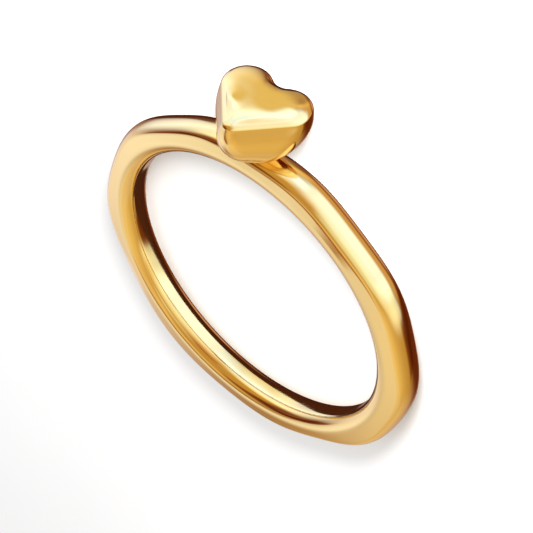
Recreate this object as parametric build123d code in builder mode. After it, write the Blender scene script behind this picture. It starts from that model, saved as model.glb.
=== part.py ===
from build123d import *
import os
from collections import namedtuple
from math import asin, atan2, cos, degrees, hypot, radians, sin, sqrt

# Heart ring: a polished gold band with a puffed heart soldered on its outside.
# It lies on its side as it would on a table, so it leans a little on the heart's lobes.
# The origin is the centre of the finger hole, +Z is up and the heart faces -Y.

# Band, in millimetres
FINGER_HOLE_DIAMETER = 17.0
BAND_WIDTH = 1.88
BAND_WALL = 2.1
BAND_DOME = 0.5
SHOULDER_DROP = 0.09
COMFORT_EDGE_RADIUS = 0.7
CREST_WIDTH = 0.1

# Heart, in millimetres
HEART_WIDTH = 5.2
HEART_LENGTH = 4.4
HEART_RISE = 2.73
NOTCH_RADIUS = 0.78
FACE_EDGE_WIDTH = 0.45
FACE_EDGE_DEPTH = 0.34
FACE_DOME = 0.37
FOOT_DEPTH = 0.4
FOOT_TO_BAND = 0.62

# The band's outline is softly out of round. Each row gives a bearing in degrees from +X towards +Y, and the
# wall there as a share of the full wall.
OutlineRow = namedtuple("OutlineRow", "bearing wall")
BAND_OUTLINE = (
    OutlineRow(0, 0.939),
    OutlineRow(15, 0.896),
    OutlineRow(30, 0.830),
    OutlineRow(45, 0.924),
    OutlineRow(60, 0.983),
    OutlineRow(75, 0.918),
    OutlineRow(90, 0.911),
    OutlineRow(105, 0.899),
    OutlineRow(120, 0.835),
    OutlineRow(135, 0.957),
    OutlineRow(150, 0.967),
    OutlineRow(165, 0.953),
    OutlineRow(180, 0.980),
    OutlineRow(195, 0.915),
    OutlineRow(210, 0.980),
    OutlineRow(225, 0.896),
    OutlineRow(240, 0.891),
    OutlineRow(255, 0.926),
    OutlineRow(270, 0.850),
    OutlineRow(285, 0.890),
    OutlineRow(300, 0.818),
    OutlineRow(315, 0.879),
    OutlineRow(330, 0.907),
    OutlineRow(345, 0.859),
)

# The heart's sections from the edge of its face down to the band, where it has narrowed to a round foot.
# The height is a share of the rise. The lobes' offset and radius and the point's radius are shares of the
# width. The point's reach from the lobes and the lobes' shift towards it are shares of the length.
HeartRow = namedtuple("HeartRow", "height offset lobe point reach shift")
HEART_SECTIONS = (
    HeartRow(1.00, 0.243, 0.252, 0.114, 0.550, -0.181),
    HeartRow(0.77, 0.210, 0.300, 0.181, 0.479, -0.147),
    HeartRow(0.55, 0.165, 0.315, 0.216, 0.379, -0.101),
    HeartRow(0.37, 0.122, 0.305, 0.221, 0.284, -0.057),
    HeartRow(0.23, 0.086, 0.284, 0.212, 0.200, -0.019),
    HeartRow(0.10, 0.045, 0.245, 0.200, 0.080, 0.031),
)

# The band's domed outside turns round by these degrees, from its lower shoulder to its upper one.
DOME_TURNS = (-86, -72, -54, -36, -18, 0, 18, 36, 54, 72, 86)

# The face's edge turns in as an ellipse does, by these degrees. The puffed face rises from there, where its
# outline has shrunk to these shares.
FACE_EDGE_TURNS = (0, 22, 44, 66)
FACE_SHARES = (1, 0.8, 0.6, 0.4, 0.2)

HeartShape = namedtuple("HeartShape", "height offset lobe point reach shift")

hole_radius = FINGER_HOLE_DIAMETER / 2
half_width = BAND_WIDTH / 2
comfort_radius = min(COMFORT_EDGE_RADIUS, 0.45 * BAND_WIDTH)
crest_radius = hole_radius + comfort_radius + CREST_WIDTH


def wall_radius(row):
    """The outline's distance from the ring's axis at one bearing."""
    return hole_radius + BAND_WALL * row.wall


heart_seat = max(-wall_radius(row) * sin(radians(row.bearing)) for row in BAND_OUTLINE)

heart_shapes = [
    HeartShape(
        height=heart_seat + HEART_RISE * row.height,
        offset=HEART_WIDTH * row.offset,
        lobe=HEART_WIDTH * row.lobe,
        point=HEART_WIDTH * row.point,
        reach=HEART_LENGTH * row.reach,
        shift=HEART_LENGTH * row.shift,
    )
    for row in HEART_SECTIONS
]
face_edge = heart_shapes[0]

# Inside the band the foot is narrower than the band.
foot_radius = FOOT_TO_BAND * half_width
foot = HeartShape(
    height=heart_seat - FOOT_DEPTH,
    offset=foot_radius / 4,
    lobe=foot_radius,
    point=foot_radius,
    reach=foot_radius / 8,
    shift=0,
)

# The ring rests on the heart's lobes and on the far edge of the lower side's crest.
lean = max(
    degrees(atan2(shape.lobe - shape.shift - half_width, shape.height + crest_radius))
    for shape in heart_shapes
)
ring_plane = Plane.XY.rotated((-lean, 0, 0))
ring_axis = Axis(ring_plane.origin, ring_plane.z_dir)
heart_plane = Plane(origin=ring_plane.origin, x_dir=ring_plane.x_dir, z_dir=-ring_plane.y_dir)


def draw_band_outline(inset):
    """Draws the band's closed outline, moved inwards, in the line being built."""
    points = []
    for row in BAND_OUTLINE:
        radius = wall_radius(row) - inset
        points.append((radius * cos(radians(row.bearing)), radius * sin(radians(row.bearing))))
    Spline(*points, periodic=True)


def draw_heart_outline(shape, inset=0, share=1):
    """Draws a closed heart in the line being built: two lobes, a notch, two straight sides and a point.

    The outline is moved inwards, and then shrunk to a share of itself.
    """
    lobe = share * (shape.lobe - inset)
    point = share * (shape.point - inset)
    hollow = share * (NOTCH_RADIUS + inset)
    offset = share * shape.offset
    reach = share * shape.reach
    lobe_y = share * shape.shift
    point_y = lobe_y + reach
    notch_y = lobe_y - sqrt((lobe + hollow) ** 2 - offset**2)

    # The straight side touches the lobe and the point where their outlines face this way.
    side = degrees(atan2(offset, reach) + asin((lobe - point) / hypot(offset, reach)))
    notch = degrees(atan2(lobe_y - notch_y, offset)) - 180

    across, along = cos(radians(side)), sin(radians(side))
    for hand in (1, -1):
        Line(
            (hand * point * across, point_y + point * along),
            (hand * (offset + lobe * across), lobe_y + lobe * along),
        )
    CenterArc((0, point_y), point, side, 180 - 2 * side)
    CenterArc((offset, lobe_y), lobe, notch, side - notch)
    CenterArc((-offset, lobe_y), lobe, 180 - side, side - notch)
    CenterArc((0, notch_y), hollow, 180 + notch, -2 * notch - 180)


with BuildPart() as heart_ring:
    # The band's body between its two shoulders. Its outside is close to half an ellipse.
    for turn in DOME_TURNS:
        with BuildSketch(ring_plane.offset((half_width - SHOULDER_DROP) * sin(radians(turn)))):
            with BuildLine():
                draw_band_outline(BAND_DOME * (1 - cos(radians(turn))))
            make_face()
    loft()

    # Its two sides, each sloping up from the shoulder to a low crest near the finger hole
    for side, turn in ((-1, DOME_TURNS[0]), (1, DOME_TURNS[-1])):
        with BuildSketch(ring_plane.offset((half_width - SHOULDER_DROP) * sin(radians(turn)))):
            with BuildLine():
                draw_band_outline(BAND_DOME * (1 - cos(radians(turn))))
            make_face()
        with BuildSketch(ring_plane.offset(side * half_width)):
            Circle(crest_radius)
        loft(ruled=True)

    # The finger hole and its comfort edges
    with BuildSketch(ring_plane):
        Circle(hole_radius)
    extrude(amount=BAND_WIDTH, both=True, mode=Mode.SUBTRACT)
    hole_edges = heart_ring.faces().filter_by(GeomType.CYLINDER).edges().filter_by(GeomType.CIRCLE)
    fillet(hole_edges, comfort_radius)

    # The heart's body, from the edge of its face down to its foot inside the band
    for shape in heart_shapes + [foot]:
        with BuildSketch(heart_plane.offset(shape.height)):
            with BuildLine():
                draw_heart_outline(shape)
            make_face()
    loft()

    # The soft edge of the heart's face, part of an ellipse
    for turn in FACE_EDGE_TURNS:
        edge_rise = FACE_EDGE_DEPTH * sin(radians(turn))
        edge_inset = FACE_EDGE_WIDTH * (1 - cos(radians(turn)))
        with BuildSketch(heart_plane.offset(face_edge.height + edge_rise)):
            with BuildLine():
                draw_heart_outline(face_edge, edge_inset)
            make_face()
    loft()

    # The puffed face within that edge
    for share in FACE_SHARES:
        with BuildSketch(heart_plane.offset(face_edge.height + edge_rise + FACE_DOME * (1 - share**2))):
            with BuildLine():
                draw_heart_outline(face_edge, edge_inset, share)
            make_face()
    loft()

heart_ring.part.label = "heart_ring"
os.makedirs("parts", exist_ok=True)
export_step(heart_ring.part, "parts/heart_ring.step")
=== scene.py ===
import logging
from dataclasses import dataclass, field
from enum import Enum
from math import asin, atan2, copysign, cos, exp, hypot, pi, radians, sin, sqrt

import bmesh
import bpy
from mathutils import Matrix, Vector


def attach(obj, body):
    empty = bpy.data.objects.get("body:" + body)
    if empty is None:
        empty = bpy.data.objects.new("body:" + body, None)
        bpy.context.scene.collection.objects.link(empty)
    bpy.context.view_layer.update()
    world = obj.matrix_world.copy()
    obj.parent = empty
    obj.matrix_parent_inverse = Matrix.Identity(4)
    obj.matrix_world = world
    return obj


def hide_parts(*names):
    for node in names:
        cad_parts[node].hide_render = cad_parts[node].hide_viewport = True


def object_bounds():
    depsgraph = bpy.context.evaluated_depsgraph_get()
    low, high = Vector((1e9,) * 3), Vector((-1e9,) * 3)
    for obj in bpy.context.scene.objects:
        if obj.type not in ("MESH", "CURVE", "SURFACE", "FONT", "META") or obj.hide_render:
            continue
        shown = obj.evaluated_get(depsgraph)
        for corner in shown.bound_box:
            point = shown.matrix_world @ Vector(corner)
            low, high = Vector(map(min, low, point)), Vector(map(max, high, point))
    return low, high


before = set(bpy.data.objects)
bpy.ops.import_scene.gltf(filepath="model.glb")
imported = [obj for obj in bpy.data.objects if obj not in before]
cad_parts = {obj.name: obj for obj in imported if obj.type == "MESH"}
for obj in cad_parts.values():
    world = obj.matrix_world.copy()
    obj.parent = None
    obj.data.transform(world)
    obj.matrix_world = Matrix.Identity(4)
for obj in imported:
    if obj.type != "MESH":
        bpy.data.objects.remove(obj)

# A polished yellow gold heart ring on a pale studio floor, in millimetres until a mesh is finished.
# The ring's own frame has the finger hole's axis as z, and the heart at -y. In the world the ring leans a
# little, because it rests on the heart's lobes and on the band's far edge.

LOG = logging.getLogger("heart ring")
CAD_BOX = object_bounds()
MILLIMETRE = 0.001
NODE = "heart_ring"
# Two places nearer than this are one place.
TOUCH = 0.002
# Vertices nearer than this are merged where two roundings meet.
MERGE = 4 * TOUCH
# The resting ring leans by this, as the solid does.
LEAN = radians(3.3430)
RING_TO_WORLD = Matrix.Rotation(-LEAN, 4, "X")
# Straight sides that stand for a full circle
ROUND_STEPS = 96
# Levels of subdivision on each piece
SUBDIVISIONS = 2
# More than the vertical part of any direction
PAST_ZENITH = 1.1

# A loop of places across and along the heart, and a loop of a mesh's vertices
Places = list[tuple[float, float]]
Ring = list[bmesh.types.BMVert]


class Body(Enum):
    """The moving bodies that a piece can ride on."""

    RING = "root"


class ViewTransform(Enum):
    """The colour transforms that the studio picks from."""

    PLAIN = "Standard"


def linear(code: str) -> tuple[float, float, float]:
    """Turns an sRGB hex colour to linear light.

    Args:
        code: Six hex digits after a hash sign.

    Returns:
        Red, green and blue in linear light.
    """
    parts = (int(code[start : start + 2], 16) / 255 for start in (1, 3, 5))
    red, green, blue = (
        part / 12.92 if part <= 0.04045 else ((part + 0.055) / 1.055) ** 2.4
        for part in parts
    )
    return red, green, blue


def add_node(
    tree: bpy.types.NodeTree, kind: str, links: dict | None = None, **settings: object
) -> bpy.types.Node:
    """Adds a node, with its settings, socket values and links.

    Args:
        tree: The node tree that gets the node.
        kind: The node's type, without its ShaderNode prefix.
        links: Input name or number, and the output socket or the value that goes there.
        settings: Attributes of the node.

    Returns:
        The new node.
    """
    node = tree.nodes.new("ShaderNode" + kind)
    for name, value in settings.items():
        setattr(node, name, value)
    for name, source in (links or {}).items():
        if isinstance(source, bpy.types.NodeSocket):
            tree.links.new(source, node.inputs[name])
        else:
            node.inputs[name].default_value = source
    return node


def per_metre(size_mm: float) -> float:
    """The noise scale for a pattern of this size, because materials read metres."""
    return 1.0 / (size_mm * MILLIMETRE)


def empty_material(name: str) -> bpy.types.Material:
    """Makes a material that has no nodes yet.

    Args:
        name: What the material is.

    Returns:
        The material.
    """
    material = bpy.data.materials.new(name)
    material.use_nodes = True
    material.node_tree.nodes.clear()
    return material


def make_object(mesh: bmesh.types.BMesh, name: str, material: bpy.types.Material) -> bpy.types.Object:
    """Makes a mesh an object of the scene.

    Args:
        mesh: The mesh, in metres. It is freed.
        name: The object's name.
        material: Its finish.

    Returns:
        The object.
    """
    data = bpy.data.meshes.new(name)
    mesh.to_mesh(data)
    mesh.free()
    data.materials.append(material)
    made = bpy.data.objects.new(name, data)
    bpy.context.scene.collection.objects.link(made)
    return made


@dataclass(frozen=True)
class PolishedGold:
    """18 carat yellow gold, cast and mirror polished on a felt wheel.

    The eye sees a clean mirror of a deep yellow, with a faint haze where the wheel left off, hairline marks
    that run along the metal, and a slow change of warmth over the surface. The marks are drawn as coarse as
    they need to be to show.
    """

    name: str
    colour: str = "#FADB99"
    warm_colour: str = "#F9D891"
    roughness: float = 0.06
    haze: float = 0.16
    haze_starts: float = 0.35
    haze_is_full: float = 0.8
    tone_size: float = 4.0
    haze_size: float = 1.6
    mark_length: float = 0.54
    mark_width: float = 0.09
    mark_depth: float = 0.004
    mark_strength: float = 0.12

    def material(self) -> bpy.types.Material:
        """Makes the gold.

        Returns:
            The material.
        """
        material = empty_material(self.name)
        tree = material.node_tree
        place = add_node(tree, "TexCoord").outputs["Object"]
        tone_scale = per_metre(self.tone_size)
        tone = add_node(tree, "TexNoise", {"Vector": place, "Scale": tone_scale, "Detail": 3.0})
        colour = add_node(
            tree,
            "Mix",
            {0: tone.outputs["Fac"], 6: (*linear(self.colour), 1.0), 7: (*linear(self.warm_colour), 1.0)},
            data_type="RGBA",
        )
        haze_scale = per_metre(self.haze_size)
        haze = add_node(tree, "TexNoise", {"Vector": place, "Scale": haze_scale, "Detail": 5.0})
        rough = add_node(
            tree,
            "MapRange",
            {
                0: haze.outputs["Fac"],
                1: self.haze_starts,
                2: self.haze_is_full,
                3: self.roughness,
                4: self.haze,
            },
        )
        # The marks are as long as the pattern's cells, and narrower across the band.
        stretch = (1.0, 1.0, self.mark_length / self.mark_width)
        along = add_node(tree, "Mapping", {"Vector": place, "Scale": stretch})
        marks = add_node(
            tree,
            "TexNoise",
            {"Vector": along.outputs[0], "Scale": per_metre(self.mark_length), "Detail": 4.0},
        )
        bump = add_node(
            tree,
            "Bump",
            {
                "Height": marks.outputs["Fac"],
                "Strength": self.mark_strength,
                "Distance": self.mark_depth * MILLIMETRE,
            },
        )
        shader = add_node(
            tree,
            "BsdfPrincipled",
            {
                "Base Color": colour.outputs[2],
                "Metallic": 1.0,
                "Roughness": rough.outputs[0],
                "Normal": bump.outputs[0],
            },
        )
        add_node(tree, "OutputMaterial", {"Surface": shader.outputs[0]})
        return material


@dataclass(frozen=True)
class StudioPaper:
    """Matt studio paper and card, rolled from pulp: seamless white for the ground, brown for the hole card.

    The eye sees a plain white ground with a barely uneven tooth and hardly any gloss. Of the brown card it
    sees only what the gold mirrors: painted shade, a dark reflection that stands for the paper the ring
    shades inside the hole.
    """

    name: str
    colour: str = "#F6F5F4"
    shade: str = "#F2F1F0"
    roughness: float = 0.75
    gloss: float = 0.1
    mottle_size: float = 9.0

    def material(self) -> bpy.types.Material:
        """Makes the paper.

        Returns:
            The material.
        """
        material = empty_material(self.name)
        tree = material.node_tree
        place = add_node(tree, "TexCoord").outputs["Object"]
        mottle = add_node(tree, "TexNoise", {"Vector": place, "Scale": per_metre(self.mottle_size)})
        colour = add_node(
            tree,
            "Mix",
            {0: mottle.outputs["Fac"], 6: (*linear(self.colour), 1.0), 7: (*linear(self.shade), 1.0)},
            data_type="RGBA",
        )
        shader = add_node(
            tree,
            "BsdfPrincipled",
            {
                "Base Color": colour.outputs[2],
                "Roughness": self.roughness,
                "Specular IOR Level": self.gloss,
            },
        )
        add_node(tree, "OutputMaterial", {"Surface": shader.outputs[0]})
        return material


@dataclass(frozen=True)
class AmberGel:
    """Dyed polyester lighting gel, a clear sheet whose amber deepens upwards.

    The eye sees it only in the gold, as a warm tint on what is mirrored through it. It tints what passes
    from its front to its back, and nothing the other way. The height is in millimetres.
    """

    name: str
    height: float
    low: str = "#FDF5DC"
    high: str = "#DDAD6C"

    def material(self) -> bpy.types.Material:
        """Makes the gel.

        Returns:
            The material.
        """
        material = empty_material(self.name)
        tree = material.node_tree
        parts = add_node(tree, "SeparateXYZ", {0: add_node(tree, "TexCoord").outputs["Object"]})
        rise = add_node(tree, "MapRange", {0: parts.outputs[2], 1: 0.0, 2: self.height * MILLIMETRE})
        colour = add_node(
            tree,
            "Mix",
            {0: rise.outputs[0], 6: (*linear(self.low), 1.0), 7: (*linear(self.high), 1.0)},
            data_type="RGBA",
        )
        tinted = add_node(tree, "BsdfTransparent", {"Color": colour.outputs[2]})
        clear = add_node(tree, "BsdfTransparent")
        behind = add_node(tree, "NewGeometry").outputs["Backfacing"]
        sheet = add_node(tree, "MixShader", {0: behind, 1: clear.outputs[0], 2: tinted.outputs[0]})
        add_node(tree, "OutputMaterial", {"Surface": sheet.outputs[0]})
        return material


def finish_piece(mesh: bmesh.types.BMesh, name: str, material: bpy.types.Material) -> bpy.types.Object:
    """Leans a mesh with the ring, makes it an object and hands it to the frame.

    Args:
        mesh: The mesh, in millimetres in the ring's frame. It is freed.
        name: The piece's name.
        material: Its finish.

    Returns:
        The finished object.
    """
    bmesh.ops.recalc_face_normals(mesh, faces=mesh.faces)
    bmesh.ops.transform(mesh, matrix=Matrix.Scale(MILLIMETRE, 4) @ RING_TO_WORLD, verts=mesh.verts)
    piece = make_object(mesh, name, material)
    piece.data.polygons.foreach_set("use_smooth", [True] * len(piece.data.polygons))
    smoother = piece.modifiers.new("smooth", "SUBSURF")
    smoother.levels = SUBDIVISIONS
    smoother.render_levels = SUBDIVISIONS
    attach(piece, Body.RING.value)
    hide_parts(NODE)
    return piece


@dataclass
class Band:
    """The plain band, a little out of round, with a domed outside and comfort edges inside."""

    hole_radius: float = 8.5
    width: float = 1.88
    wall: float = 2.1
    outer_dome: float = 0.5
    shoulder_drop: float = 0.09
    comfort_edge: float = 0.7
    crest_width: float = 0.1
    steps: int = ROUND_STEPS
    corner_segments: int = 9
    side_cuts: int = 4
    # The wall as a share of the full one, at each 15 degrees from +x towards +y, fitted to the photograph
    outline: tuple[float, ...] = (
        0.939, 0.896, 0.830, 0.924, 0.983, 0.918,
        0.911, 0.899, 0.835, 0.957, 0.967, 0.953,
        0.980, 0.915, 0.980, 0.896, 0.891, 0.926,
        0.850, 0.890, 0.818, 0.879, 0.907, 0.859,
    )
    waves: list[tuple[float, float]] = field(init=False, default_factory=list)

    def __post_init__(self) -> None:
        """Turns the outline's shares to the waves that pass through them all."""
        count = len(self.outline)
        for wave in range(count // 2 + 1):
            weight = (1 if wave in (0, count // 2) else 2) / count
            turns = [2 * pi * wave * step / count for step in range(count)]
            along = weight * sum(share * cos(turn) for share, turn in zip(self.outline, turns))
            across = weight * sum(share * sin(turn) for share, turn in zip(self.outline, turns))
            self.waves.append((along, across))

    def share(self, bearing: float) -> float:
        """The wall's share of the full wall at a bearing.

        Args:
            bearing: The angle from +x towards +y, in radians.

        Returns:
            The share.
        """
        return sum(
            along * cos(wave * bearing) + across * sin(wave * bearing)
            for wave, (along, across) in enumerate(self.waves)
        )

    def round_corners(self, mesh: bmesh.types.BMesh, level: float, radius: float) -> None:
        """Rounds the section's two corners that lie at one distance from the ring's axis.

        Args:
            mesh: The section.
            level: The corners' distance from the axis.
            radius: The rounding's radius.
        """
        corners = [vertex for vertex in mesh.verts if abs(vertex.co.x - level) < TOUCH]
        bmesh.ops.bevel(
            mesh,
            geom=corners,
            offset=radius,
            offset_type="OFFSET",
            segments=self.corner_segments,
            profile=0.5,
            affect="VERTICES",
            material=-1,
        )

    def build(self, material: bpy.types.Material) -> bpy.types.Object:
        """Rounds a rectangle to the band's section, spins it round the finger hole and shapes its outline.

        Args:
            material: Its finish.

        Returns:
            The piece.
        """
        half = self.width / 2
        shoulder = self.hole_radius + self.wall - self.outer_dome
        mesh = bmesh.new()
        upright = Matrix.Rotation(pi / 2, 4, "X")
        bmesh.ops.create_grid(mesh, x_segments=1, y_segments=1, size=1.0, matrix=upright)
        for vertex in mesh.verts:
            vertex.co.x = shoulder + half if vertex.co.x > 0 else self.hole_radius
            vertex.co.z *= half
        self.round_corners(mesh, shoulder + half, half - TOUCH)
        self.round_corners(mesh, self.hole_radius, self.comfort_edge)
        bmesh.ops.remove_doubles(mesh, verts=mesh.verts, dist=MERGE)
        for vertex in mesh.verts:
            if vertex.co.x > shoulder:
                vertex.co.x = shoulder + (vertex.co.x - shoulder) * self.outer_dome / half
        bmesh.ops.delete(mesh, geom=mesh.faces[:], context="FACES_ONLY")
        # Every edge of a rounding is shorter than this, so only the flat sides are cut.
        sides = [edge for edge in mesh.edges if edge.calc_length() > self.comfort_edge]
        bmesh.ops.subdivide_edges(mesh, edges=sides, cuts=self.side_cuts)
        bmesh.ops.spin(
            mesh,
            geom=mesh.verts[:] + mesh.edges[:],
            axis=(0, 0, 1),
            angle=2 * pi,
            steps=self.steps,
            use_merge=True,
        )
        crest = self.hole_radius + self.comfort_edge + self.crest_width
        for vertex in mesh.verts:
            bearing = atan2(vertex.co.y, vertex.co.x)
            reach = hypot(vertex.co.x, vertex.co.y)
            outward = max(reach - crest, 0.0) / (shoulder - crest)
            reach += (self.share(bearing) - 1) * self.wall * min(outward, 1.0)
            vertex.co.x = reach * cos(bearing)
            vertex.co.y = reach * sin(bearing)
            vertex.co.z *= 1 - outward * self.shoulder_drop / half
        return finish_piece(mesh, "band", material)


@dataclass(frozen=True)
class HeartSection:
    """One section of the heart.

    The height is a share of the rise. The offset, the lobe and the point are shares of the width, and the
    reach and the shift are shares of the length.
    """

    height: float
    offset: float
    lobe: float
    point: float
    reach: float
    shift: float


@dataclass(frozen=True)
class FaceSwell:
    """A soft swell of the heart's face, or a hollow where its height is less than nothing."""

    across: float
    along: float
    radius: float
    height: float


@dataclass
class Heart:
    """The puffed heart, from its round foot in the band up to its softly domed face."""

    width: float = 5.2
    length: float = 4.4
    rise: float = 2.73
    # The band's outside under the heart, from the finger hole's axis
    seat: float = 10.285
    notch: float = 0.78
    edge_width: float = 0.45
    edge_depth: float = 0.34
    dome: float = 0.37
    foot_depth: float = 0.4
    foot_radius: float = 0.583
    # Inside the band, each of the foot's rings has a share of its outline and one of its depth.
    foot_rings: tuple[tuple[float, float], ...] = ((0.3, 1.0), (0.8, 1.0), (1.0, 0.8), (1.15, 0.35))
    # The visual heart's sides stay inside the solid's by this much.
    clearance: float = 0.003
    edge_turns: tuple[float, ...] = (11.0, 22.0, 36.0, 52.0, 66.0)
    face_shares: tuple[float, ...] = (
        0.96, 0.92, 0.87, 0.82, 0.76, 0.7, 0.63, 0.56, 0.48, 0.4, 0.32, 0.23, 0.14, 0.05,
    )
    # The hand-finished face is not quite even. These were fitted to the photograph and rounded.
    face_swells: tuple[FaceSwell, ...] = (
        FaceSwell(0.8, 0.2, 1.4, -0.15),
        FaceSwell(-0.6, -0.6, 0.8, -0.07),
        FaceSwell(1.5, 1.2, 0.8, 0.37),
        FaceSwell(-0.8, 1.6, 0.8, 0.09),
        FaceSwell(-2.2, -1.0, 0.7, 0.25),
        FaceSwell(-2.6, -2.0, 2.0, -0.11),
        FaceSwell(1.8, -2.2, 0.5, 0.11),
    )
    oval_across: float = 2.15
    oval_along: float = 1.9
    oval_centre: float = -0.15
    # Fitted to the photograph, as the solid's are
    sections: tuple[HeartSection, ...] = (
        HeartSection(0.10, 0.045, 0.245, 0.200, 0.080, 0.031),
        HeartSection(0.23, 0.086, 0.284, 0.212, 0.200, -0.019),
        HeartSection(0.37, 0.122, 0.305, 0.221, 0.284, -0.057),
        HeartSection(0.55, 0.165, 0.315, 0.216, 0.379, -0.101),
        HeartSection(0.77, 0.210, 0.300, 0.181, 0.479, -0.147),
        HeartSection(1.00, 0.243, 0.252, 0.114, 0.550, -0.181),
    )
    point_points: int = 4
    side_points: int = 8
    lobe_points: int = 15
    notch_points: int = 5

    def half_outline(self, section: HeartSection, inset: float) -> Places:
        """Places points along one half of a section, from the heart's point round to its notch.

        Args:
            section: The section.
            inset: How far the outline is moved inwards.

        Returns:
            Places across and along the heart.
        """
        offset = section.offset * self.width
        lobe = section.lobe * self.width - inset
        point = section.point * self.width - inset
        reach = section.reach * self.length
        shift = section.shift * self.length
        hollow = self.notch + inset
        side = atan2(offset, reach) + asin((lobe - point) / hypot(offset, reach))
        notch_y = shift - sqrt((lobe + hollow) ** 2 - offset**2)
        turn = atan2(shift - notch_y, offset)
        places = []
        for i in range(self.point_points):
            angle = pi / 2 + (side - pi / 2) * i / self.point_points
            places.append((point * cos(angle), shift + reach + point * sin(angle)))
        start = Vector((point * cos(side), shift + reach + point * sin(side)))
        end = Vector((offset + lobe * cos(side), shift + lobe * sin(side)))
        for i in range(self.side_points):
            places.append(tuple(start.lerp(end, i / self.side_points)))
        for i in range(self.lobe_points):
            angle = side - (side + pi - turn) * i / self.lobe_points
            places.append((offset + lobe * cos(angle), shift + lobe * sin(angle)))
        for i in range(self.notch_points + 1):
            angle = turn + (pi / 2 - turn) * i / self.notch_points
            places.append((hollow * cos(angle), notch_y + hollow * sin(angle)))
        return places

    def outline(self, section: HeartSection, inset: float = 0.0) -> Places:
        """Places points all round a section.

        Args:
            section: The section.
            inset: How far the outline is moved inwards.

        Returns:
            Places across and along the heart.
        """
        half = self.half_outline(section, inset)
        return half + [(-x, y) for x, y in half[-2:0:-1]]

    def face_ring(self, edge: Places, share: float) -> Places:
        """Places points round the puffed face, on a ring that turns from the edge's outline to an oval.

        Args:
            edge: The outline of the face's edge.
            share: The ring's size as a share of that outline.

        Returns:
            Places across and along the heart.
        """
        hold = share**2
        places = []
        for x, y in edge:
            turn = atan2((y - self.oval_centre) / self.oval_along, x / self.oval_across)
            oval_x = self.oval_across * cos(turn)
            oval_y = self.oval_along * sin(turn)
            places.append((
                share * (hold * x + (1 - hold) * oval_x),
                self.oval_centre + share * (hold * (y - self.oval_centre) + (1 - hold) * oval_y),
            ))
        return places

    def face_relief(self, x: float, y: float) -> float:
        """The height of the face's swells at a place.

        Args:
            x: The place across the heart.
            y: The place along the heart.

        Returns:
            The height.
        """
        return sum(
            swell.height * exp(-((hypot(x - swell.across, y - swell.along) / swell.radius) ** 2))
            for swell in self.face_swells
        )

    @staticmethod
    def place_ring(ring: Ring, places: Places, height: float) -> None:
        """Moves a loop of vertices onto an outline.

        Args:
            ring: The vertices in order.
            places: Where each goes, across and along the heart.
            height: Their distance from the finger hole's axis.
        """
        for vertex, (x, y) in zip(ring, places):
            vertex.co = (x, -height, y)

    @staticmethod
    def loop_edges(mesh: bmesh.types.BMesh, ring: Ring) -> list[bmesh.types.BMEdge]:
        """The edges that join a loop of vertices, in order."""
        return [mesh.edges.get((ring[i - 1], ring[i])) for i in range(len(ring))]

    def grow(self, mesh: bmesh.types.BMesh, ring: Ring) -> Ring:
        """Extrudes the open edge of the mesh once.

        Args:
            mesh: The heart so far.
            ring: The open edge's vertices in order.

        Returns:
            The new open edge's vertices in order.
        """
        made = bmesh.ops.extrude_edge_only(mesh, edges=self.loop_edges(mesh, ring))["geom"]
        fresh = {item for item in made if isinstance(item, bmesh.types.BMVert)}
        partner = {}
        for old in ring:
            for edge in old.link_edges:
                other = edge.other_vert(old)
                if other in fresh:
                    partner[old] = other
        return [partner[old] for old in ring]

    def build(self, material: bpy.types.Material) -> bpy.types.Object:
        """Extrudes the heart from its foot through its sections and closes its face.

        Args:
            material: Its finish.

        Returns:
            The piece.
        """
        mesh = bmesh.new()
        foot_places = self.outline(self.sections[0])
        count = len(foot_places)
        ring = bmesh.ops.create_circle(mesh, cap_ends=False, radius=1.0, segments=count)["verts"]
        shrink = self.foot_radius / (self.sections[0].lobe * self.width)
        for step, (share, depth) in enumerate(self.foot_rings):
            if step > 0:
                ring = self.grow(mesh, ring)
            places = [(x * shrink * share, y * shrink * share) for x, y in foot_places]
            self.place_ring(ring, places, self.seat - self.foot_depth * depth)
        deepest = [edge for edge in mesh.edges if len(edge.link_faces) == 1 and edge.verts[0] not in ring]
        bmesh.ops.contextual_create(mesh, geom=deepest)
        for section in self.sections:
            ring = self.grow(mesh, ring)
            height = self.seat + self.rise * section.height
            self.place_ring(ring, self.outline(section, self.clearance), height)
        top = self.sections[-1]
        crest = self.seat + self.rise
        for turn in self.edge_turns:
            ring = self.grow(mesh, ring)
            inset = self.clearance + self.edge_width * (1 - cos(radians(turn)))
            rim = crest + self.edge_depth * sin(radians(turn))
            self.place_ring(ring, self.outline(top, inset), rim)
        edge = self.outline(top, inset)
        for share in self.face_shares:
            ring = self.grow(mesh, ring)
            self.place_ring(ring, self.face_ring(edge, share), rim + self.dome * (1 - share**2))
            for vertex in ring:
                vertex.co.y -= (1 - share**4) * self.face_relief(vertex.co.x, vertex.co.z)
        bmesh.ops.contextual_create(mesh, geom=self.loop_edges(mesh, ring))
        return finish_piece(mesh, "heart", material)


@dataclass(frozen=True)
class Panel:
    """A soft panel of studio light far away, with its bearing, heights and blurs in degrees.

    One that spreads 180 degrees to either side goes all round.
    """

    use: str
    bearing: float
    spread: float
    side_blur: float
    low: float
    low_blur: float
    high: float
    high_blur: float
    brightness: float
    colour: str


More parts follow.
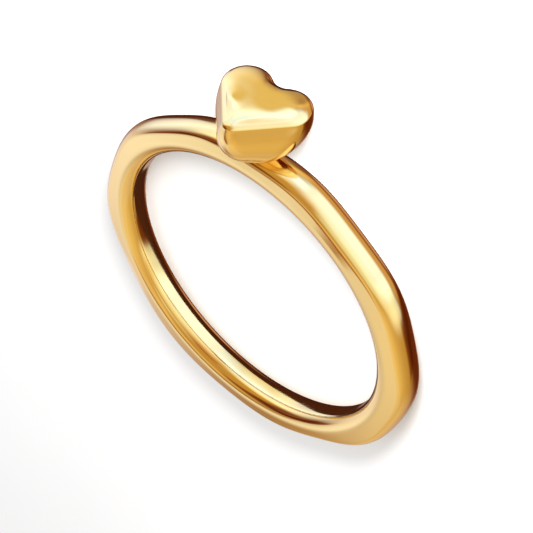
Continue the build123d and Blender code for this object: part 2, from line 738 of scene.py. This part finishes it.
@dataclass
class Studio:
    """The pale floor, the light panels far away, the brown cards, the amber gel and the key light.

    Bearings are in degrees from +x towards +y.
    """

    floor_radius: float = 1500.0
    base_brightness: float = 0.2235
    base_colour: str = "#FFA072"
    fill: float = 0.9
    fill_colour: str = "#FFFFFF"
    backdrop: str = "#FFFFFF"
    key_power: float = 0.058
    key_bearing: float = 250.0
    key_distance: float = 46.0
    key_height: float = 18.0
    key_size: float = 18.0
    gel_bearing: float = 232.0
    gel_sides: tuple[float, float] = (-9.0, 3.0)
    gel_height: float = 18.0
    hole_card_inner: float = 6.5
    hole_card_outer: float = 8.4
    hole_card_shift: float = 0.8
    hole_card_height: float = 0.05
    hole_card_roughness: float = 0.9
    # The card's brown is painted shade, the dark of the paper that the ring shades inside the hole, seen
    # only in the gold.
    hole_shade_colour: str = "#3C1D12"
    # Fitted to what the gold mirrors in the photograph, and rounded
    panels: tuple[Panel, ...] = (
        Panel("side card", 50, 18, 19, 22, 13, 47, 2, 0.66, "#B8DCFF"),
        Panel("back tan", 130, 55, 11, -23, 14, 62, 12, 0.32, "#FFEE81"),
        Panel("left bright", 232, 27, 25, -41, 8, 30, 34, 2.10, "#B4D6FF"),
        Panel("left upper", 208, 21, 19, 20, 18, 73, 16, 0.80, "#E3FFF0"),
        Panel("front white", 291, 23, 14, -24, 7, 12, 16, 2.10, "#8BBEFF"),
        Panel("right white", 312, 27, 22, 13, 17, 29, 11, 1.16, "#E5FEFF"),
        Panel("low white", 344, 17, 18, -47, 40, 12, 22, 2.02, "#B7D5FF"),
        Panel("face gold", 302, 18, 20, -54, 21, -10, 31, 0.64, "#FEFFBA"),
        Panel("top gold", 0, 180, 4, 70, 17, 94, 18, 0.36, "#FFEC8E"),
        Panel("front upper", 282, 44, 13, 16, 22, 65, 13, 0.37, "#FFE672"),
        Panel("low back white", 82, 27, 27, -36, 4, 5, 2, 0.22, "#F3F7FF"),
        Panel("side low", 36, 16, 17, -17, 10, 32, 25, 0.95, "#D3E4FF"),
        Panel("tan dark", 95, 20, 6, 6, 1, 60, 8, 0.16, "#5FAFFF"),
        Panel("left far", 184, 14, 14, -38, 8, 22, 26, 1.02, "#CDEFFF"),
        Panel("wall gold", 93, 53, 54, 16, 35, 81, 8, 0.35, "#FFFBC7"),
        Panel("low tan", 45, 43, 15, -45, 4, -17, 1, 0.10, "#FFFEF6"),
        Panel("table front", 232, 60, 10, -67, 5, -42, 6, 0.44, "#FFE395"),
        Panel("table", 0, 180, 4, -97, 10, -77, 4, 0.40, "#FFDBC8"),
    )
    # Brown cards stand before the panels and pass on only this much of their light.
    brown_cards: tuple[Panel, ...] = (
        Panel("left of the side card", 11, 9, 4, 24, 6, 58, 6, 0.38, "#FF9858"),
        Panel("upper front", 345, 22, 10, 51, 5, 76, 3, 0.55, "#FFC890"),
        Panel("above the side card", 62, 16, 8, 47.5, 1.5, 58, 5, 0.6, "#FFC080"),
        Panel("right", 151, 12, 4, -72, 5, -18, 4, 0.55, "#FFC8A0"),
        Panel("low right", 120, 26, 8, -72, 5, -29, 6, 0.6, "#FFC8A0"),
        Panel("low back", 20, 40, 10, -68, 5, -31, 3, 0.25, "#FFB080"),
    )

    def build_floor(self) -> bpy.types.Object:
        """Lays the paper that the ring rests on.

        Returns:
            The floor.
        """
        mesh = bmesh.new()
        radius = self.floor_radius * MILLIMETRE
        bmesh.ops.create_circle(mesh, cap_ends=True, radius=radius, segments=ROUND_STEPS)
        bmesh.ops.translate(mesh, vec=(0, 0, CAD_BOX[0][2]), verts=mesh.verts)
        floor = make_object(mesh, "floor", StudioPaper("seamless white paper").material())
        # The gold mirrors the panels, the cards and the gel, and not the paper.
        floor.visible_glossy = False
        return floor

    def build_hole_card(self) -> bpy.types.Object:
        """Lays a brown card with a round window inside the ring, as painted shade: only the ring's inside
        mirrors it, a dark reflection standing for the paper that the ring shades there.

        Returns:
            The card.
        """
        outer = self.hole_card_outer * MILLIMETRE
        inner = self.hole_card_inner * MILLIMETRE
        mesh = bmesh.new()
        bmesh.ops.create_circle(mesh, cap_ends=False, radius=outer, segments=ROUND_STEPS)
        window = bmesh.ops.create_circle(mesh, cap_ends=False, radius=inner, segments=ROUND_STEPS)
        bmesh.ops.translate(mesh, vec=(0, self.hole_card_shift * MILLIMETRE, 0), verts=window["verts"])
        bmesh.ops.bridge_loops(mesh, edges=mesh.edges)
        height = CAD_BOX[0][2] + self.hole_card_height * MILLIMETRE
        bmesh.ops.translate(mesh, vec=(0, 0, height), verts=mesh.verts)
        # Painted shade: the brown stands for the shaded paper inside the hole, as the gold mirrors it.
        colour = self.hole_shade_colour
        brown = StudioPaper("brown card", colour, colour, self.hole_card_roughness).material()
        card = make_object(mesh, "painted shade card in the hole", brown)
        card.visible_camera = False
        card.visible_diffuse = False
        card.visible_shadow = False
        return card

    def build_gel(self) -> bpy.types.Object:
        """Stands an amber gel over the finger hole, where it tints what the hole's wall mirrors.

        Returns:
            The gel.
        """
        mesh = bmesh.new()
        bmesh.ops.create_grid(mesh, x_segments=1, y_segments=1, size=0.5)
        left, right = self.gel_sides
        for vertex in mesh.verts:
            across = (left + right) / 2 + vertex.co.x * (right - left)
            vertex.co = (across, 0.0, (vertex.co.y + 0.5) * self.gel_height)
        turn = Matrix.Rotation(radians(self.gel_bearing + 90), 4, "Z")
        bmesh.ops.transform(mesh, matrix=Matrix.Scale(MILLIMETRE, 4) @ turn, verts=mesh.verts)
        bmesh.ops.translate(mesh, vec=(0, 0, CAD_BOX[0][2]), verts=mesh.verts)
        gel = make_object(mesh, "amber gel", AmberGel("amber gel", self.gel_height).material())
        gel.visible_camera = False
        gel.visible_diffuse = False
        gel.visible_shadow = False
        return gel

    @staticmethod
    def level(height: float) -> float:
        """The vertical part of a direction at this height in degrees, or more than any has past 90."""
        return sin(radians(height)) if abs(height) < 90 else copysign(PAST_ZENITH, height)

    @staticmethod
    def soft_edge(
        tree: bpy.types.NodeTree,
        window: bpy.types.NodeSocket | float,
        value: bpy.types.NodeSocket,
        dark: float,
        bright: float,
    ) -> bpy.types.NodeSocket:
        """Fades a panel's window out at one of its edges.

        Args:
            tree: The world's nodes.
            window: The window so far.
            value: What is measured across the edge.
            dark: The value where the window has faded out.
            bright: The value where it is full.

        Returns:
            The window with the faded edge.
        """
        step = add_node(tree, "MapRange", {0: value, 1: dark, 2: bright}, interpolation_type="SMOOTHSTEP")
        return add_node(tree, "Math", {0: window, 1: step.outputs[0]}, operation="MULTIPLY").outputs[0]

    def window(
        self,
        tree: bpy.types.NodeTree,
        panel: Panel,
        level: bpy.types.NodeSocket,
        side: bpy.types.NodeSocket,
    ) -> bpy.types.NodeSocket:
        """Draws one panel's window on the world.

        Args:
            tree: The world's nodes.
            panel: The panel.
            level: The direction's vertical part.
            side: The direction's horizontal part, at unit length.

        Returns:
            How much of the panel is seen, from 0 to 1.
        """
        window = 1.0
        if panel.spread < 180:
            towards = (cos(radians(panel.bearing)), sin(radians(panel.bearing)), 0.0)
            turn = add_node(tree, "VectorMath", {0: side, 1: towards}, operation="DOT_PRODUCT")
            dark = cos(radians(min(panel.spread + panel.side_blur, 180)))
            bright = cos(radians(max(panel.spread - panel.side_blur, 0)))
            window = self.soft_edge(tree, window, turn.outputs["Value"], dark, bright)
        for edge, blur in ((panel.low, panel.low_blur), (panel.high, -panel.high_blur)):
            window = self.soft_edge(tree, window, level, self.level(edge - blur), self.level(edge + blur))
        return window

    def build_light(self) -> None:
        """Surrounds the ring with the panels and the cards before them.

        The paper gets an even fill, and the camera sees a plain backdrop.
        """
        world = bpy.data.worlds.new("studio")
        world.use_nodes = True
        bpy.context.scene.world = world
        tree = world.node_tree
        tree.nodes.clear()
        direction = add_node(tree, "TexCoord").outputs["Generated"]
        parts = add_node(tree, "SeparateXYZ", {0: direction})
        flat = add_node(tree, "CombineXYZ", {0: parts.outputs[0], 1: parts.outputs[1]})
        side = add_node(tree, "VectorMath", {0: flat.outputs[0]}, operation="NORMALIZE")
        total = tuple(Vector(linear(self.base_colour)) * self.base_brightness)
        for panel in self.panels:
            window = self.window(tree, panel, parts.outputs[2], side.outputs["Vector"])
            colour = tuple(Vector(linear(panel.colour)) * panel.brightness)
            lit = {0: colour, "Scale": window}
            glow = add_node(tree, "VectorMath", lit, operation="SCALE", label=panel.use)
            both = {0: total, 1: glow.outputs[0]}
            total = add_node(tree, "VectorMath", both, operation="ADD").outputs[0]
        for card in self.brown_cards:
            window = self.window(tree, card, parts.outputs[2], side.outputs["Vector"])
            kept = (*(Vector(linear(card.colour)) * card.brightness), 1.0)
            dimmed = add_node(
                tree,
                "Mix",
                {0: window, 6: total, 7: kept},
                data_type="RGBA",
                blend_type="MULTIPLY",
                label=card.use,
            )
            total = dimmed.outputs[2]
        panels = add_node(tree, "Background", {"Color": total})
        fill_colour = (*linear(self.fill_colour), 1.0)
        fill = add_node(tree, "Background", {"Color": fill_colour, "Strength": self.fill})
        plain = add_node(tree, "Background", {"Color": (*linear(self.backdrop), 1.0)})
        ray = add_node(tree, "LightPath")
        light = panels.outputs[0]
        for kind, other in (("Is Diffuse Ray", fill), ("Is Camera Ray", plain)):
            choice = {0: ray.outputs[kind], 1: light, 2: other.outputs[0]}
            light = add_node(tree, "MixShader", choice).outputs[0]
        add_node(tree, "OutputWorld", {"Surface": light})
        bpy.context.scene.view_settings.view_transform = ViewTransform.PLAIN.value

    def build_key(self) -> bpy.types.Object:
        """Sets up the key light, a small soft lamp that grazes the paper from the camera's side.

        It stays out of the gold's reflections and out of the picture.

        Returns:
            The light.
        """
        data = bpy.data.lights.new("key", "AREA")
        data.shape = "DISK"
        data.energy = self.key_power
        data.size = self.key_size * MILLIMETRE
        key = bpy.data.objects.new("key", data)
        bpy.context.scene.collection.objects.link(key)
        turn = radians(self.key_bearing)
        across = cos(turn) * self.key_distance
        along = sin(turn) * self.key_distance
        place = Vector((across, along, self.key_height)) * MILLIMETRE
        key.matrix_world = Matrix.Translation(place) @ place.to_track_quat("Z", "Y").to_matrix().to_4x4()
        key.visible_glossy = False
        key.visible_camera = False
        return key


@dataclass
class PhotoCamera:
    """The camera, at the photograph's angle to the ring.

    Its lens, sensor, nearest distance and place are in millimetres. The right and up directions are the
    picture's own, and the picture is turned far about the line of sight. All were fitted to the photograph.
    """

    lens: float = 137.934
    sensor_width: float = 36.0
    nearest: float = 5.0
    right: tuple[float, float, float] = (-0.755297, -0.038217, -0.654267)
    up: tuple[float, float, float] = (0.495823, -0.686155, -0.532307)
    place: tuple[float, float, float] = (-46.056, -78.725, 56.995)

    def build(self) -> bpy.types.Object:
        """Stands the camera up.

        Returns:
            The camera.
        """
        data = bpy.data.cameras.new("camera")
        data.lens = self.lens
        data.sensor_width = self.sensor_width
        data.clip_start = self.nearest * MILLIMETRE
        camera = bpy.data.objects.new("camera", data)
        bpy.context.scene.collection.objects.link(camera)
        right = Vector(self.right)
        up = Vector(self.up)
        turn = Matrix((right, up, right.cross(up))).transposed().to_4x4()
        camera.matrix_world = Matrix.Translation(Vector(self.place) * MILLIMETRE) @ turn
        bpy.context.scene.camera = camera
        return camera


def main() -> None:
    """Builds the ring and its studio."""
    logging.basicConfig(level=logging.INFO, format="%(name)s: %(message)s")
    gold = PolishedGold("polished 18 carat yellow gold").material()
    for piece in (Band().build(gold), Heart().build(gold)):
        LOG.info("%s has %d faces", piece.name, len(piece.data.polygons))
    studio = Studio()
    made = (
        studio.build_floor(),
        studio.build_hole_card(),
        studio.build_gel(),
        studio.build_key(),
        PhotoCamera().build(),
    )
    for part in made:
        LOG.info("%s is in place", part.name)
    studio.build_light()


if __name__ == "__main__":
    main()
